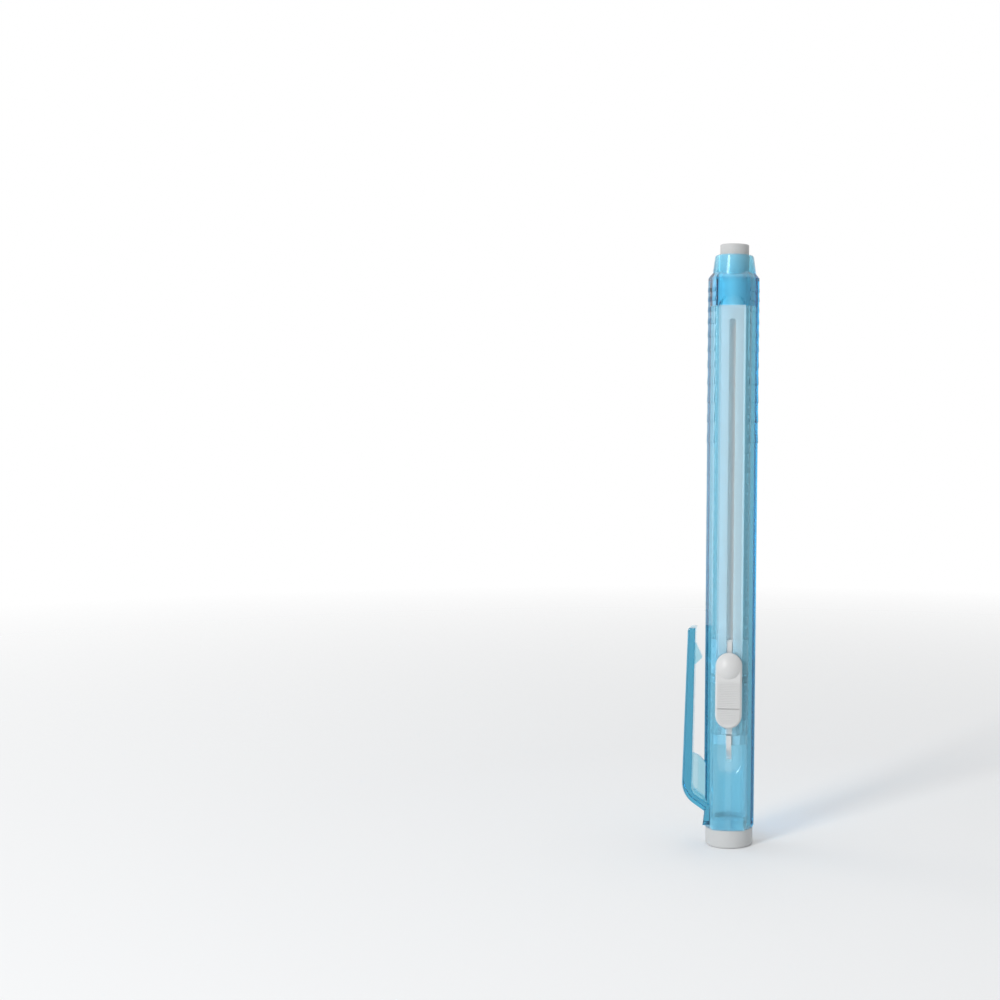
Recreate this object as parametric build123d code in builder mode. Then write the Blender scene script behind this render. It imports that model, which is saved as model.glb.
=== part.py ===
from build123d import *
import math
import os

os.makedirs("parts", exist_ok=True)

# A click eraser pen, in millimetres. Z runs up the pen from the flat end of the cap to the
# eraser's tip. The slide button faces -Y and the pocket clip stands off on -X.

# Sizes along the pen
cap_height = 3.85
cap_seat_play = 0.03
barrel_length = 120.42
barrel_end = cap_height + cap_seat_play
nose_rim = barrel_end + barrel_length

# Cuts run past their faces by this much, and joined bodies sink into each other by it
overrun = 0.5
sink = 0.3

# Barrel section: three long crowned faces and three narrow ones between them
long_face = 7.0
narrow_face = 3.7
face_crown = 0.35
edge_radius = 0.5
axis_to_section = 0.55
long_reach = (long_face + 2 * narrow_face) / (2 * math.sqrt(3))
narrow_reach = (2 * long_face + narrow_face) / (2 * math.sqrt(3))
front_chord = axis_to_section + long_reach
front_crown = front_chord + face_crown
long_face_turns = (-90, 30, 150)
narrow_face_turns = (-30, 90, 210)

# Nose and the lip at the other end of the barrel
nose_rim_radius = 3.98
nose_base_radius = 4.62
nose_length = 4.4
nose_round = 0.55
nose_hole_chamfer = 0.15
shoulder_height = 1.25
shoulder_step = 1.05
shoulder_drop = 4.88
lip_height = 0.7
lip_step = 0.35
nose_base = nose_rim - nose_length
shoulder_base = nose_rim - shoulder_drop

# Eraser stick
eraser_radius = 3.0
eraser_length = 88.8
eraser_edge = 0.25
eraser_play = 0.1
eraser_grip_play = 0.05

# Hollow of the barrel: flat under the front face, round behind the eraser
hollow_half_width = 3.65
hollow_front = 3.75
hollow_back = 3.35
hollow_corner = 0.45
hollow_drop = 10.6
hollow_top = nose_rim - hollow_drop

# Recess in the front face, and the slot through its floor
recess_floor = 4.4
recess_floor_width = 4.7
recess_slope = 42
recess_rim = 0.12
recess_drop = 8.7
recess_rise = 12.52
slot_width = 1.36
slot_inset_front = 4.6
slot_inset_rear = 2.0
keyway_depth = 0.35
recess_top = nose_rim - recess_drop
recess_foot = barrel_end + recess_rise
slot_top = recess_top - slot_inset_front
slot_foot = recess_foot + slot_inset_rear

# Grip ribs: wedges on the narrow faces, crest at the rear end, set wider and wider apart
rib_count = 11
rib_drop = 7.8
rib_pitch = 1.95
rib_pitch_growth = 0.26
rib_length_share = 0.47
rib_crest_share = 0.12
rib_width = 3.4
rib_height = 0.13
rib_front_height = 0.04

# Pocket clip, moulded with the barrel
clip_width = 5.2
clip_length = 42.0
clip_reach = 9.9
clip_lean = 1.1
clip_thickness = 2.05
clip_tip_thickness = 1.55
clip_knee_rise = 7.22
clip_knee_radius = 5.5
clip_crook_radius = 2.2
clip_root_thickness = 1.75
clip_root_slope = 34.7
clip_edge = 0.35
clip_foot_rise = 0.82
clip_foot_height = 3.05
clip_foot_reach = 5.42
clip_tip_round = 0.6
clip_knee = barrel_end + clip_knee_rise
clip_foot_end = barrel_end + clip_foot_rise
clip_foot_top = clip_foot_end + clip_foot_height
clip_top = clip_foot_end + clip_length

# Web in the crook of the clip, and the tooth that bites on a pocket
web_thickness = 0.8
web_step_thickness = 1.4
web_step_reach = 6.6
web_inside = 4.6
web_arm_rise = 8.9
web_step_rise = 8.2
web_barrel_rise = 6.3
web_panel_rise = 0.8
tooth_thickness = 1.2
tooth_drop = 2.7
tooth_rise = 3.8
tooth_fall = 1.6
tooth_reach = 5.85
tooth_round = 0.35
web_arm_top = clip_knee + web_arm_rise
web_step_top = clip_knee + web_step_rise
web_barrel_top = clip_knee + web_barrel_rise
web_panel_foot = clip_knee + web_panel_rise
tooth_top = clip_top - tooth_drop
tooth_peak = tooth_top - tooth_rise
tooth_foot = tooth_peak - tooth_fall

# Holder that carries the eraser
slide_play = 0.06
collar_length = 7.2
collar_floor = 0.55
collar_split = 3.0
collar_notch = 0.8
ring_rise = 3.6
ring_length = 2.0
ring_play = 0.33
ring_hole_radius = 2.1
spine_front = 1.7
key_width = 1.06
key_play = 0.05
key_setback = 0.4
tail_length = 3.2
tail_front = 3.0
tail_thickness = 0.6
holder_retract = 8.0
ring_foot = slot_foot + ring_rise
ring_top = ring_foot + ring_length

# Latch arm that springs the button
arm_length = 12.35
arm_width = 3.2
arm_thickness = 0.8
arm_front = 3.6
arm_end_gap = 0.7
hinge_play = 0.05
pawl_length = 1.1
pawl_half_width = 3.4
pawl_play = 0.05
pawl_depth = 0.6
stem_hinge_gap = 2.45
stem_tip_gap = 0.9
stem_sink = 0.55
stem_play = 0.03
arm_foot = ring_top + hinge_play
arm_tip = arm_foot + arm_length
hinge_height = arm_foot + arm_thickness / 2
hinge_depth = arm_front - arm_thickness / 2
stem_foot = hinge_height + stem_hinge_gap
stem_length = arm_tip - stem_tip_gap - stem_foot

# Where the collar and the eraser stand while the button is drawn back
collar_foot = arm_tip + arm_end_gap
collar_top = collar_foot + collar_length
eraser_foot = collar_foot + collar_floor + eraser_grip_play

# Rack: saw teeth in the two front corners of the hollow, along the pawls' travel
rack_pitch = 2.0
rack_depth = 0.25
rack_width = 0.5
rack_sink = 0.15
rack_end_play = 0.1
rack_foot = arm_tip - pawl_length - holder_retract - rack_end_play
key_top = collar_top - key_setback
rack_run = slot_top - key_top + arm_tip - rack_foot
rack_count = int(rack_run / rack_pitch)

# Slide button
button_length = 15.9
button_width = 5.55
button_overhang = 1.0
button_foot = stem_foot - button_overhang
button_under = 5.35
button_plate = 0.9
button_bevel = 0.35
dome_radius = 2.55
dome_height = 1.05
dome_drop = 2.95
grip_line_count = 25
grip_line_pitch = 0.36
grip_line_width = 0.2
grip_line_height = 0.1
grip_line_start = 0.95
grip_line_inset = 0.12
groove_rise = 4.2
groove_width = 0.16
groove_depth = 0.15

# End cap
cap_radius = 5.05
cap_edge = 0.5
cap_top_edge = 0.15
spigot_length = 2.45
spigot_play = 0.03
spigot_chamfer = 0.4
spigot_wall = 0.9
cap_dish = 1.0

# Where the faces of one piece meet another
key_reach = hollow_front + keyway_depth - key_play
pawl_front = hollow_front - rack_depth - pawl_play
button_top = button_under + button_plate


def flat_point(reach, along, turn):
    """Point on a face whose normal is turned from +X, reach out from the section's centre."""
    angle = math.radians(turn)
    x = reach * math.cos(angle) - along * math.sin(angle)
    y = reach * math.sin(angle) + along * math.cos(angle) - axis_to_section
    return (x, y)


def barrel_outline():
    """Rounded six-sided outline with crowned long faces."""
    half = long_face / 2
    with BuildSketch() as outline:
        with BuildLine():
            for place, turn in enumerate(long_face_turns):
                next_turn = long_face_turns[(place + 1) % len(long_face_turns)]
                start = flat_point(long_reach, -half, turn)
                crown = flat_point(long_reach + face_crown, 0, turn)
                end = flat_point(long_reach, half, turn)
                ThreePointArc(start, crown, end)
                Line(end, flat_point(long_reach, -half, next_turn))
        make_face()
        fillet(outline.vertices(), radius=edge_radius)
    return outline.sketch


def hollow_outline(play, corner=hollow_corner):
    """Outline of the barrel's hollow, drawn in by the play of the piece that slides in it."""
    half = hollow_half_width - play
    front = hollow_front - play
    back = hollow_back - play
    with BuildSketch() as outline:
        with BuildLine():
            Line((-half, -front), (half, -front))
            Line((half, -front), (half, 0))
            ThreePointArc((half, 0), (0, back), (-half, 0))
            Line((-half, 0), (-half, -front))
        make_face()
        chamfer(outline.vertices().sort_by(Axis.Y)[0:2], length=corner)
    return outline.sketch


def rib_feet():
    """Rear end of each grip rib and the rib's length, from the nose down."""
    places = []
    height = nose_rim - rib_drop
    pitch = rib_pitch
    for _ in range(rib_count):
        places.append((height, pitch * rib_length_share))
        height -= pitch
        pitch += rib_pitch_growth
    return places


def rack_points():
    """Saw-tooth outline of the rack, as depth and height points."""
    points = [(-hollow_front - rack_sink, rack_foot)]
    for tooth in range(rack_count):
        foot = rack_foot + tooth * rack_pitch
        points.append((-hollow_front, foot))
        points.append((-hollow_front + rack_depth, foot))
    top = rack_foot + rack_count * rack_pitch
    points.append((-hollow_front, top))
    points.append((-hollow_front - rack_sink, top))
    return points


# Pocket clip, its web and its tooth
corner_x, clip_middle = flat_point(long_reach, -long_face / 2, long_face_turns[1])
clip_outer_tip = clip_reach - clip_lean
clip_inner_tip = clip_outer_tip - clip_tip_thickness
clip_inner = clip_reach - clip_thickness
root_fall = math.tan(math.radians(clip_root_slope))
root_height = clip_root_thickness / math.cos(math.radians(clip_root_slope))
root_foot = clip_knee - (clip_reach - hollow_half_width) * root_fall
foot_start = clip_reach - (clip_knee - clip_foot_top) / root_fall
crook = clip_knee - clip_thickness * root_fall + root_height
web_foot = root_foot + root_height / 2

with BuildPart() as clip:
    with BuildSketch(Plane.XZ.offset(-clip_middle - clip_width / 2)) as arm:
        with BuildLine():
            Polyline(
                (-clip_outer_tip, clip_top),
                (-clip_reach, clip_knee),
                (-foot_start, clip_foot_top),
                (-clip_foot_reach, clip_foot_end),
                (-hollow_half_width, clip_foot_end),
                (-hollow_half_width, root_foot + root_height),
                (-clip_inner, crook),
                (-clip_inner_tip, clip_top),
                close=True,
            )
        make_face()
        fillet(arm.vertices().sort_by(Axis.X)[0], radius=clip_knee_radius)
        tip_corner = arm.vertices().group_by(Axis.Y)[-1].sort_by(Axis.X)[0]
        fillet(tip_corner, radius=clip_tip_round)
        crook_corner = arm.vertices().sort_by(lambda point: abs(point.Y - crook))[0]
        fillet(crook_corner, radius=clip_crook_radius)
    extrude(amount=clip_width)
    side_edges = clip.faces().filter_by(Axis.Y).edges()
    root_edges = clip.faces().sort_by(Axis.X)[-1].edges()
    fillet([edge for edge in side_edges if edge not in root_edges], radius=clip_edge)

    with BuildSketch(Plane.XZ.offset(-clip_middle - web_thickness / 2)):
        with BuildLine():
            Polyline(
                (-clip_inner - sink, web_arm_top),
                (-web_step_reach, web_step_top),
                (-web_inside, web_barrel_top),
                (-web_inside, web_foot),
                (-clip_inner - sink, crook),
                close=True,
            )
        make_face()
    extrude(amount=web_thickness)
    with BuildSketch(Plane.XZ.offset(-clip_middle - web_step_thickness / 2)):
        with BuildLine():
            Polyline(
                (-web_step_reach, web_step_top),
                (-web_inside, web_barrel_top),
                (-web_inside, web_foot),
                (-clip_inner - sink, crook),
                (-clip_inner - sink, web_panel_foot),
                (-web_step_reach, web_panel_foot),
                close=True,
            )
        make_face()
    extrude(amount=web_step_thickness)

    with BuildSketch(Plane.XZ.offset(-clip_middle - tooth_thickness / 2)) as tooth:
        with BuildLine():
            Polyline(
                (-clip_inner_tip - sink, tooth_top),
                (-tooth_reach, tooth_peak),
                (-clip_inner_tip - sink, tooth_foot),
                close=True,
            )
        make_face()
        fillet(tooth.vertices().sort_by(Axis.X)[-1], radius=tooth_round)
    extrude(amount=tooth_thickness)

# Barrel, moulded in one piece with its clip
shoulder_taper = math.degrees(math.atan(shoulder_step / shoulder_height))
lip_taper = math.degrees(math.atan(lip_step / lip_height))
recess_length = recess_top - recess_foot
slot_length = slot_top - slot_foot
front_wall = front_crown - hollow_front

with BuildPart() as barrel:
    with BuildSketch(Plane.XY.offset(barrel_end + lip_height)):
        add(barrel_outline())
    extrude(amount=shoulder_base - barrel_end - lip_height)
    with BuildSketch(Plane.XY.offset(shoulder_base)):
        add(barrel_outline())
    extrude(amount=shoulder_height, taper=shoulder_taper)
    with BuildSketch(Plane.XY.offset(barrel_end + lip_height)):
        add(barrel_outline())
    extrude(amount=-lip_height, taper=lip_taper)

    # Nose cone
    with BuildSketch(Plane.XZ) as nose_profile:
        with BuildLine():
            Polyline(
                (0, nose_base - sink),
                (nose_base_radius, nose_base - sink),
                (nose_base_radius, nose_base),
                (nose_rim_radius, nose_rim),
                (0, nose_rim),
                close=True,
            )
        make_face()
        rim_corner = nose_profile.vertices().group_by(Axis.Y)[-1].sort_by(Axis.X)[-1]
        fillet(rim_corner, radius=nose_round)
    revolve(axis=Axis.Z)

    # Grip ribs on the three narrow faces
    for turn in narrow_face_turns:
        facing = math.radians(turn)
        rib_plane = Plane(
            origin=(0, -axis_to_section, 0),
            x_dir=(math.cos(facing), math.sin(facing), 0),
            z_dir=(math.sin(facing), -math.cos(facing), 0),
        )
        with BuildSketch(rib_plane):
            for foot, length in rib_feet():
                with BuildLine():
                    Polyline(
                        (narrow_reach - sink, foot),
                        (narrow_reach + rib_height, foot + length * rib_crest_share),
                        (narrow_reach + rib_front_height, foot + length),
                        (narrow_reach - sink, foot + length),
                        close=True,
                    )
                make_face()
        extrude(amount=rib_width / 2, both=True)

    add(clip.part)

    # Recess with sloping sides, and the slot through its floor
    with BuildSketch(Plane.XZ.offset(recess_floor)):
        with Locations((0, (recess_top + recess_foot) / 2)):
            SlotOverall(recess_length, recess_floor_width, rotation=90)
    extrude(amount=front_crown - recess_floor + overrun, taper=-recess_slope,
            mode=Mode.SUBTRACT)
    rim_limit = -(recess_floor + front_chord) / 2
    cut_edges = barrel.edges(Select.LAST).filter_by(lambda edge: edge.center().Y < rim_limit)
    chamfer(cut_edges, length=recess_rim)
    with BuildSketch(Plane.XZ.offset(hollow_front - overrun)):
        with Locations((0, (slot_top + slot_foot) / 2)):
            SlotOverall(slot_length, slot_width, rotation=90)
    extrude(amount=front_wall + 2 * overrun, mode=Mode.SUBTRACT)

    # Hollow, the keyway that leads from it into the slot, and the hole in the nose
    with BuildSketch(Plane.XY.offset(barrel_end - overrun)):
        add(hollow_outline(0))
    extrude(amount=hollow_top - barrel_end + overrun, mode=Mode.SUBTRACT)
    with BuildSketch(Plane.XY.offset(barrel_end - overrun)):
        with Locations((0, -hollow_front)):
            Rectangle(slot_width, 2 * keyway_depth)
    extrude(amount=slot_foot + slot_width / 2 - barrel_end + overrun, mode=Mode.SUBTRACT)
    with BuildSketch(Plane.XY.offset(hollow_top - overrun)):
        Circle(eraser_radius + eraser_play)
    extrude(amount=nose_rim - hollow_top + 2 * overrun, mode=Mode.SUBTRACT)
    rim_edges = barrel.faces().sort_by(Axis.Z)[-1].edges()
    chamfer(rim_edges.sort_by(SortBy.RADIUS)[0], length=nose_hole_chamfer)

    # Racks in the front corners of the hollow
    for side_plane in (hollow_half_width - rack_width, -hollow_half_width - rack_sink):
        with BuildSketch(Plane.YZ.offset(side_plane)):
            with BuildLine():
                Polyline(*rack_points(), close=True)
            make_face()
        extrude(amount=rack_width + rack_sink)

# Eraser stick
with BuildPart() as eraser_stick:
    with BuildSketch(Plane.XY.offset(eraser_foot)):
        Circle(eraser_radius)
    extrude(amount=eraser_length)
    fillet(eraser_stick.edges().group_by(Axis.Z)[-1], radius=eraser_edge)

# Holder: a split collar on the eraser, a spine, a guide ring, and keys that run in the slot
key_root = hollow_front - slide_play - sink
key_height = key_reach - key_root

with BuildPart() as eraser_holder:
    with BuildSketch(Plane.XY.offset(collar_foot)):
        add(hollow_outline(slide_play, collar_notch))
    extrude(amount=collar_length)
    with BuildSketch(Plane.XY.offset(collar_foot + collar_floor)):
        Circle(eraser_radius + eraser_grip_play)
        with Locations((0, hollow_back)):
            Rectangle(collar_split, 2 * hollow_back)
    extrude(amount=collar_length, mode=Mode.SUBTRACT)

    with BuildSketch(Plane.XY.offset(ring_foot)):
        add(hollow_outline(ring_play, collar_notch))
        Circle(ring_hole_radius, mode=Mode.SUBTRACT)
    extrude(amount=ring_length)
    with BuildSketch(Plane.XY.offset(ring_foot)):
        add(hollow_outline(ring_play, collar_notch))
        with Locations((0, spine_front - hollow_front)):
            Rectangle(2 * hollow_half_width, 2 * hollow_front, mode=Mode.SUBTRACT)
    extrude(amount=collar_foot - ring_foot + collar_floor / 2)

    with BuildSketch(Plane.XY.offset(collar_foot)):
        with Locations((0, -(key_root + key_reach) / 2)):
            Rectangle(key_width, key_height)
    extrude(amount=key_top - collar_foot)

    # Rear key, with a tail that ramps down into the hollow
    with BuildSketch(Plane.YZ.offset(-key_width / 2)):
        with BuildLine():
            tail_end = ring_foot - tail_length
            Line((-key_root, ring_top), (-key_reach, ring_top))
            Line((-key_reach, ring_top), (-key_reach, ring_foot))
            Spline(
                (-key_reach, ring_foot),
                (-tail_front, tail_end),
                tangents=((0, -1), (0, -1)),
            )
            Line((-tail_front, tail_end), (-tail_front + tail_thickness, tail_end))
            Line((-tail_front + tail_thickness, tail_end), (-key_root + sink, ring_foot))
            Line((-key_root + sink, ring_foot), (-key_root, ring_top))
        make_face()
    extrude(amount=key_width)

# Latch arm: the springy finger that carries the button, with a pawl for each rack
with BuildPart() as latch_arm:
    with BuildSketch(Plane.YZ.offset(-arm_width / 2)):
        with Locations((-hinge_depth, (hinge_height + arm_tip) / 2)):
            Rectangle(arm_thickness, arm_tip - hinge_height)
        with Locations((-hinge_depth, hinge_height)):
            Circle(arm_thickness / 2)
    extrude(amount=arm_width)
    with BuildSketch(Plane.XY.offset(arm_tip - pawl_length)):
        with Locations((0, -pawl_front + pawl_depth / 2)):
            Rectangle(2 * pawl_half_width, pawl_depth)
    extrude(amount=pawl_length)
    with BuildSketch(Plane.XY.offset(stem_foot)):
        with Locations((0, -(hinge_depth + button_under + stem_sink) / 2)):
            Rectangle(key_width, button_under + stem_sink - hinge_depth)
    extrude(amount=stem_length)

# Slide button: a stadium plate with a thumb dome at its front and fine grip lines behind it
dome_height_mid = button_foot + button_length - dome_drop
dome_ball = (dome_radius**2 + dome_height**2) / (2 * dome_height)
dome_centre = button_top + dome_height - dome_ball
dome_half_turn = math.asin(dome_radius / dome_ball) / 2
flat_radius = button_width / 2 - button_bevel
end_centre = button_foot + button_width / 2

with BuildPart() as slide_button:
    with BuildSketch(Plane.XZ.offset(button_under)):
        with Locations((0, button_foot + button_length / 2)):
            SlotOverall(button_length, button_width, rotation=90)
    extrude(amount=button_plate)
    chamfer(slide_button.edges().group_by(Axis.Y)[0], length=button_bevel)

    with BuildSketch(Plane.YZ):
        with BuildLine():
            base = (-button_top, dome_height_mid + dome_radius)
            middle = (
                -dome_centre - dome_ball * math.cos(dome_half_turn),
                dome_height_mid + dome_ball * math.sin(dome_half_turn),
            )
            peak = (-button_top - dome_height, dome_height_mid)
            ThreePointArc(base, middle, peak)
            Polyline(
                peak,
                (-button_top + sink, dome_height_mid),
                (-button_top + sink, dome_height_mid + dome_radius),
                base,
            )
        make_face()
    revolve(axis=Axis((0, 0, dome_height_mid), (0, 1, 0)))

    with BuildSketch(Plane.XZ.offset(button_top - sink)):
        for line in range(grip_line_count):
            height = button_foot + grip_line_start + line * grip_line_pitch
            fall = max(end_centre - height, 0)
            half = math.sqrt(flat_radius**2 - fall**2) - grip_line_inset
            with Locations((0, height)):
                Rectangle(2 * half, grip_line_width)
    extrude(amount=sink + grip_line_height)

    # One groove right across, where the flat part of the button ends
    with BuildSketch(Plane.XZ.offset(button_top - groove_depth)):
        with Locations((0, button_foot + groove_rise)):
            Rectangle(button_width, groove_width)
    extrude(amount=groove_depth + grip_line_height + overrun, mode=Mode.SUBTRACT)

    with BuildSketch(Plane.XZ.offset(button_under - overrun)):
        with Locations((0, stem_foot + stem_length / 2)):
            Rectangle(key_width + 2 * stem_play, stem_length + 2 * stem_play)
    extrude(amount=overrun + stem_sink + stem_play, mode=Mode.SUBTRACT)

# End cap with the spigot that plugs the barrel
with BuildPart() as end_cap:
    with BuildSketch():
        Circle(cap_radius)
    extrude(amount=cap_height)
    fillet(end_cap.edges().group_by(Axis.Z)[0], radius=cap_edge)
    chamfer(end_cap.edges().group_by(Axis.Z)[-1], length=cap_top_edge)
    with BuildSketch(Plane.XY.offset(cap_height - sink)):
        add(hollow_outline(spigot_play))
    extrude(amount=spigot_length + sink)
    chamfer(end_cap.faces().sort_by(Axis.Z)[-1].edges(), length=spigot_chamfer)
    with BuildSketch(Plane.XY.offset(cap_height + spigot_length - cap_dish)):
        add(hollow_outline(spigot_wall))
    extrude(amount=cap_dish + overrun, mode=Mode.SUBTRACT)

pieces = {
    "barrel": barrel,
    "end_cap": end_cap,
    "eraser_stick": eraser_stick,
    "eraser_holder": eraser_holder,
    "latch_arm": latch_arm,
    "slide_button": slide_button,
}
for name, piece in pieces.items():
    piece.part.label = name
    export_step(piece.part, f"parts/{name}.step")
    print(name, len(piece.part.solids()), round(piece.part.volume, 2))
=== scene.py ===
import bpy
import math
from mathutils import Matrix, Vector

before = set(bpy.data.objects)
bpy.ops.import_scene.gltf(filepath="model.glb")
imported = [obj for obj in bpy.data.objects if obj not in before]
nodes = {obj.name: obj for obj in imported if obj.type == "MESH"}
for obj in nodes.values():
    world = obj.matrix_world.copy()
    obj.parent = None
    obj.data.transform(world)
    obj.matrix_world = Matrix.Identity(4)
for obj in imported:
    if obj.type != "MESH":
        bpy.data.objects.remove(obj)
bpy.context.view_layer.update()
scene = bpy.context.scene
print("stage: frame loaded")


# A socket takes another node's output, a colour or a plain number
def feed(tree, value, socket):
    if isinstance(value, bpy.types.NodeSocket):
        tree.links.new(value, socket)
    elif isinstance(value, tuple):
        socket.default_value = (*value, 1)
    else:
        socket.default_value = value


def newMaterial(name):
    material = bpy.data.materials.new(name)
    material.use_nodes = True
    tree = material.node_tree
    tree.nodes.clear()
    out = tree.nodes.new("ShaderNodeOutputMaterial")
    return material, tree, out


def objectCoords(tree):
    return tree.nodes.new("ShaderNodeTexCoord").outputs["Object"]


def objectNoise(tree, scale, detail=3.0):
    noise = tree.nodes.new("ShaderNodeTexNoise")
    noise.inputs["Scale"].default_value = scale
    noise.inputs["Detail"].default_value = detail
    tree.links.new(objectCoords(tree), noise.inputs["Vector"])
    return noise.outputs["Fac"]


def blendColours(tree, factor, low, high):
    mix = tree.nodes.new("ShaderNodeMix")
    mix.data_type = "RGBA"
    feed(tree, factor, mix.inputs[0])
    feed(tree, low, mix.inputs[6])  # a Mix node keeps its two colours at 6 and 7
    feed(tree, high, mix.inputs[7])
    return mix.outputs[2]


def mixShaders(tree, factor, first, second):
    mix = tree.nodes.new("ShaderNodeMixShader")
    for place, value in enumerate((factor, first, second)):
        tree.links.new(value, mix.inputs[place])
    return mix.outputs["Shader"]


def rangeOf(tree, value, low, high, start=0.0, end=1.0):
    node = tree.nodes.new("ShaderNodeMapRange")
    node.inputs["From Min"].default_value = start
    node.inputs["From Max"].default_value = end
    node.inputs["To Min"].default_value = low
    node.inputs["To Max"].default_value = high
    tree.links.new(value, node.inputs["Value"])
    return node.outputs["Result"]


def addBump(tree, height, strength, distance):
    bump = tree.nodes.new("ShaderNodeBump")
    bump.inputs["Strength"].default_value = strength
    bump.inputs["Distance"].default_value = distance
    tree.links.new(height, bump.inputs["Height"])
    return bump.outputs["Normal"]


def calculate(tree, operation, first, second=None):
    node = tree.nodes.new("ShaderNodeMath")
    node.operation = operation
    feed(tree, first, node.inputs[0])
    if second is not None:
        feed(tree, second, node.inputs[1])
    return node.outputs["Value"]


def isLess(tree, value, limit):
    return calculate(tree, "LESS_THAN", value, limit)


def isMore(tree, value, limit):
    return calculate(tree, "GREATER_THAN", value, limit)


def product(tree, first, *others):
    result = first
    for other in others:
        result = calculate(tree, "MULTIPLY", result, other)
    return result


def dress(name, material):
    obj = nodes[name]
    if not obj.material_slots:
        obj.data.materials.append(material)
    for slot in obj.material_slots:
        slot.material = material


# Barrel: clear blue plastic whose colour comes from its thickness. The walls of the hollow are
# a little matt, the recess's floor is a little milky, and the bore of the nose is both.
barrel = {
    "skin": (0.79, 0.905, 0.95),
    "skinDeep": (0.75, 0.885, 0.94),
    "recessSkin": (0.76, 0.91, 0.98),
    "depthColour": (0.04, 0.69, 0.82),
    "depthDensity": 490.0,
    "shadowTint": (0.58, 0.755, 0.885),
    "recessShadowTint": (0.28, 0.30, 0.31),
    "noseShadowTint": (0.90, 0.86, 0.88),
    "index": 1.33,
    "shine": 0.5,
    "coat": 0.25,
    "coatIndex": 1.5,
    "clearness": 0.98,
    "mattClearness": 0.78,
    "noseClearness": 0.20,
    "recessClearness": 0.58,
    "roughness": 0.05,
    "roughnessSpread": 0.015,
    "mattRoughness": 0.20,
    "noseRoughness": 0.45,
    "cloudScale": 120.0,
    "waveScale": 240.0,
    "waveDetail": 1.0,
    "waveStrength": 0.5,
    "waveHeight": 0.00001,
    # The hollow's section in metres, and how far its ceiling lies below the nose's rim
    "hollowHalfWidth": 0.00375,
    "hollowFront": 0.0042,
    "hollowRadius": 0.0038,
    "hollowDrop": 0.0105,
    # The nose's cone begins and ends this far below the rim, and keeps a share of the mattness
    "coneFootDrop": 0.0058,
    "coneTopDrop": 0.0038,
    "coneShare": 0.25,
    # The recess's section, and where it begins and fades, from the barrel's foot upwards
    "recessHalfWidth": 0.00245,
    "recessFloor": 0.0044,
    "recessSlope": 0.90,
    "recessRim": 0.00478,
    "recessRise": 0.01242,
    "fadeFootRise": 0.02412,
    "fadeTopRise": 0.04412,
    "fadeShare": 0.12,
}


def hollowMasks(tree, look):
    heights = [corner[2] for corner in nodes["barrel"].bound_box]
    foot, rim = min(heights), max(heights)
    axes = tree.nodes.new("ShaderNodeSeparateXYZ")
    tree.links.new(objectCoords(tree), axes.inputs[0])
    depth, height = axes.outputs["Y"], axes.outputs["Z"]  # depth is negative at the front
    width = calculate(tree, "ABSOLUTE", axes.outputs["X"])
    underNose = isLess(tree, height, rim - look["hollowDrop"])

    # The hollow is round behind the eraser and square in front of it
    squares = calculate(
        tree, "ADD", calculate(tree, "POWER", width, 2.0), product(tree, depth, depth)
    )
    inRing = isLess(tree, calculate(tree, "SQRT", squares), look["hollowRadius"])
    inBox = product(
        tree,
        isLess(tree, width, look["hollowHalfWidth"]),
        isMore(tree, depth, -look["hollowFront"]),
        isLess(tree, depth, 0.0),
    )
    hollow = product(tree, calculate(tree, "MAXIMUM", inRing, inBox), underNose)

    # The bore of the nose is matt, and less so in the cone
    overHollow = calculate(tree, "SUBTRACT", 1.0, underNose)
    cone = rangeOf(
        tree,
        height,
        1.0,
        look["coneShare"],
        rim - look["coneFootDrop"],
        rim - look["coneTopDrop"],
    )
    nose = product(tree, inRing, overHollow, cone)

    # The recess widens from its floor outwards, and its paleness fades towards the rear
    rise = calculate(tree, "SUBTRACT", product(tree, depth, -1.0), look["recessFloor"])
    flare = product(tree, rise, look["recessSlope"])
    fade = rangeOf(
        tree,
        height,
        look["fadeShare"],
        1.0,
        foot + look["fadeFootRise"],
        foot + look["fadeTopRise"],
    )
    recess = product(
        tree,
        isLess(tree, calculate(tree, "SUBTRACT", width, flare), look["recessHalfWidth"]),
        isMore(tree, depth, -look["recessRim"]),
        isLess(tree, depth, -look["hollowFront"]),
        underNose,
        isMore(tree, height, foot + look["recessRise"]),
        fade,
    )
    return hollow, nose, recess


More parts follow.
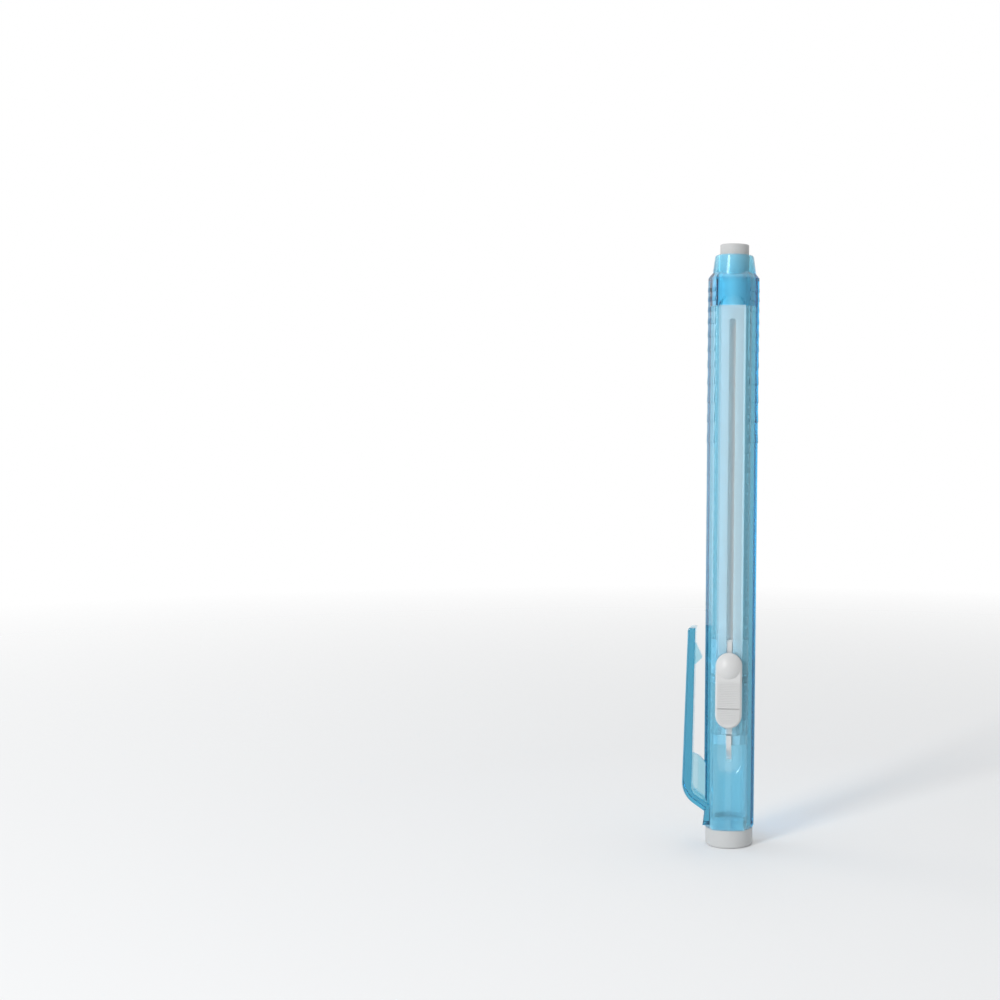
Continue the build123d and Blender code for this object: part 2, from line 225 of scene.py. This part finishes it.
def clearMaterial(name, look):
    material, tree, out = newMaterial(name)
    shader = tree.nodes.new("ShaderNodeBsdfPrincipled")
    shader.inputs["IOR"].default_value = look["index"]
    shader.inputs["Specular IOR Level"].default_value = look["shine"]
    shader.inputs["Coat Weight"].default_value = look["coat"]
    shader.inputs["Coat IOR"].default_value = look["coatIndex"]
    hollow, nose, recess = hollowMasks(tree, look)
    cloud = objectNoise(tree, look["cloudScale"])

    skin = blendColours(tree, cloud, look["skinDeep"], look["skin"])
    colour = blendColours(tree, recess, skin, look["recessSkin"])
    tree.links.new(colour, shader.inputs["Base Color"])

    clearness = rangeOf(tree, hollow, look["clearness"], look["mattClearness"])
    for mask, limit in ((nose, look["noseClearness"]), (recess, look["recessClearness"])):
        clearness = calculate(tree, "MINIMUM", clearness, rangeOf(tree, mask, 1.0, limit))
    tree.links.new(clearness, shader.inputs["Transmission Weight"])

    smoothest = look["roughness"] - look["roughnessSpread"]
    roughest = look["roughness"] + look["roughnessSpread"]
    matt = calculate(
        tree,
        "ADD",
        product(tree, hollow, look["mattRoughness"]),
        product(tree, nose, look["noseRoughness"]),
    )
    roughness = calculate(tree, "ADD", rangeOf(tree, cloud, smoothest, roughest), matt)
    tree.links.new(roughness, shader.inputs["Roughness"])

    wave = objectNoise(tree, look["waveScale"], look["waveDetail"])
    normal = addBump(tree, wave, look["waveStrength"], look["waveHeight"])
    tree.links.new(normal, shader.inputs["Normal"])

    # Lamps shine through the plastic, tinted, so that the pieces inside are lit
    path = tree.nodes.new("ShaderNodeLightPath")
    lampsPass = tree.nodes.new("ShaderNodeBsdfTransparent")
    wallTint = blendColours(tree, recess, look["shadowTint"], look["recessShadowTint"])
    tint = blendColours(tree, nose, wallTint, look["noseShadowTint"])
    tree.links.new(tint, lampsPass.inputs["Color"])
    surface = mixShaders(
        tree, path.outputs["Is Shadow Ray"], shader.outputs["BSDF"], lampsPass.outputs["BSDF"]
    )
    tree.links.new(surface, out.inputs["Surface"])

    body = tree.nodes.new("ShaderNodeVolumeAbsorption")
    body.inputs["Color"].default_value = (*look["depthColour"], 1)
    body.inputs["Density"].default_value = look["depthDensity"]
    tree.links.new(body.outputs["Volume"], out.inputs["Volume"])
    return material


dress("barrel", clearMaterial("clearBluePlastic", barrel))

# The pale pieces all have a faint cloud in their colour and a fine grain in their skin
paleFinish = {
    "cloudScale": 160.0,
    "grainDetail": 2.0,
    "roughnessSpread": 0.05,
    "grainStrength": 0.25,
    "grainHeight": 0.00003,
}


def paleMaterial(name, look):
    material, tree, out = newMaterial(name)
    shader = tree.nodes.new("ShaderNodeBsdfPrincipled")
    cloud = objectNoise(tree, paleFinish["cloudScale"])
    grain = objectNoise(tree, look["grain"], paleFinish["grainDetail"])
    colour = blendColours(tree, cloud, look["low"], look["high"])
    tree.links.new(colour, shader.inputs["Base Color"])
    smoothest = look["roughness"] - paleFinish["roughnessSpread"]
    roughest = look["roughness"] + paleFinish["roughnessSpread"]
    tree.links.new(rangeOf(tree, grain, smoothest, roughest), shader.inputs["Roughness"])
    normal = addBump(tree, grain, paleFinish["grainStrength"], paleFinish["grainHeight"])
    tree.links.new(normal, shader.inputs["Normal"])
    tree.links.new(shader.outputs["BSDF"], out.inputs["Surface"])
    return material


endCap = {
    "low": (0.50, 0.51, 0.51),
    "high": (0.54, 0.55, 0.55),
    "roughness": 0.38,
    "grain": 2600.0,
}
dress("end_cap", paleMaterial("paleGreyPlastic", endCap))

slideButton = {
    "low": (0.58, 0.585, 0.585),
    "high": (0.63, 0.635, 0.635),
    "roughness": 0.38,
    "grain": 2600.0,
}
dress("slide_button", paleMaterial("palePlastic", slideButton))

# The holder and its latch arm are one moulding, so they share a plastic
holderAndArm = {
    "low": (0.62, 0.63, 0.63),
    "high": (0.67, 0.68, 0.68),
    "roughness": 0.34,
    "grain": 2200.0,
}
whitePlastic = paleMaterial("whitePlastic", holderAndArm)
dress("eraser_holder", whitePlastic)
dress("latch_arm", whitePlastic)

eraserStick = {
    "low": (0.50, 0.51, 0.51),
    "high": (0.55, 0.56, 0.56),
    "roughness": 0.62,
    "grain": 3200.0,
}
dress("eraser_stick", paleMaterial("eraserVinyl", eraserStick))
print("stage: materials done")


def aimAt(obj, place, target, roll=0.0):
    toward = Vector(target) - Vector(place)
    turned = toward.to_track_quat("-Z", "Y").to_matrix().to_4x4()
    obj.matrix_world = Matrix.Translation(place) @ turned @ Matrix.Rotation(roll, 4, "Z")


# The camera stands a little to the right and above, at the photograph's angle
camera = {
    "aim": (0.0, 0.0, 0.06335),
    "distance": 0.320,
    "turn": 3.5,
    "elevation": 4.3,
    "roll": 0.57,
    "lens": 54.6,
    "sensor": 36.0,
    "shiftX": -0.23175,
    "shiftY": 0.0478,
    "near": 0.01,
}


def addCamera():
    data = bpy.data.cameras.new("photoCamera")
    data.sensor_width = camera["sensor"]
    data.lens = camera["lens"]
    data.shift_x = camera["shiftX"]
    data.shift_y = camera["shiftY"]
    data.clip_start = camera["near"]
    obj = bpy.data.objects.new("photoCamera", data)
    scene.collection.objects.link(obj)
    turn = math.radians(camera["turn"])
    rise = math.radians(camera["elevation"])
    level = math.cos(rise)
    away = Vector((math.sin(turn) * level, -math.cos(turn) * level, math.sin(rise)))
    place = Vector(camera["aim"]) + away * camera["distance"]
    aimAt(obj, place, camera["aim"], math.radians(camera["roll"]))
    scene.camera = obj


# The key stands high at the front left, and gives the streak down the nose
softboxes = {
    "keySoftbox": {
        "size": (0.18, 0.60),
        "power": 3.9,
        "place": (-0.42, -0.65, 0.30),
        "aim": (0, 0, 0.07),
    },
    "sideSoftbox": {
        "size": (0.30, 0.60),
        "power": 0.7,
        "place": (-0.66, 0.28, 0.22),
        "aim": (0, 0, 0.07),
    },
    "topSoftbox": {
        "size": (0.50, 0.50),
        "power": 1.6,
        "place": (-0.05, 0.05, 0.90),
        "aim": (0, 0, 0.05),
    },
}


def addSoftbox(name, light):
    data = bpy.data.lights.new(name, "AREA")
    data.shape = "RECTANGLE"
    data.size, data.size_y = light["size"]
    data.energy = light["power"]
    obj = bpy.data.objects.new(name, data)
    scene.collection.objects.link(obj)
    aimAt(obj, light["place"], light["aim"])


# The floor fades out into the white round it, from the inner reach to the outer one
floor = {
    "radius": 1.6,
    "edges": 96,
    "inner": 0.10,
    "outer": 0.55,
    "colour": (0.93, 0.94, 0.95),
}


def addFloor():
    bpy.ops.mesh.primitive_circle_add(
        vertices=floor["edges"], radius=floor["radius"], fill_type="TRIFAN", location=(0, 0, 0)
    )
    obj = bpy.context.object
    obj.name = "studioFloor"
    material, tree, out = newMaterial("studioFloor")
    reach = tree.nodes.new("ShaderNodeVectorMath")
    reach.operation = "LENGTH"
    tree.links.new(objectCoords(tree), reach.inputs[0])
    fade = rangeOf(tree, reach.outputs["Value"], 0.0, 1.0, floor["inner"], floor["outer"])
    paint = tree.nodes.new("ShaderNodeBsdfDiffuse")
    paint.inputs["Color"].default_value = (*floor["colour"], 1)
    clear = tree.nodes.new("ShaderNodeBsdfTransparent")
    surface = mixShaders(tree, fade, paint.outputs["BSDF"], clear.outputs["BSDF"])
    tree.links.new(surface, out.inputs["Surface"])
    obj.data.materials.append(material)


# White as far as the camera sees, also mirrored and through the plastic; softer as a light
surroundings = {"colour": (1.0, 1.0, 1.0), "seen": 1.0, "light": 0.5}


def setWorld():
    world = bpy.data.worlds.new("studio")
    scene.world = world
    world.use_nodes = True
    tree = world.node_tree
    tree.nodes.clear()
    out = tree.nodes.new("ShaderNodeOutputWorld")
    path = tree.nodes.new("ShaderNodeLightPath")
    shades = {}
    for use in ("light", "seen"):
        shades[use] = tree.nodes.new("ShaderNodeBackground")
        shades[use].inputs["Color"].default_value = (*surroundings["colour"], 1)
        shades[use].inputs["Strength"].default_value = surroundings[use]
    isSeen = path.outputs["Is Camera Ray"]
    for ray in ("Is Transmission Ray", "Is Glossy Ray"):
        isSeen = calculate(tree, "MAXIMUM", isSeen, path.outputs[ray])
    surface = mixShaders(
        tree, isSeen, shades["light"].outputs["Background"], shades["seen"].outputs["Background"]
    )
    tree.links.new(surface, out.inputs["Surface"])


addCamera()
for name, light in softboxes.items():
    addSoftbox(name, light)
addFloor()
setWorld()
scene.view_settings.view_transform = "Standard"
print("stage: studio done")
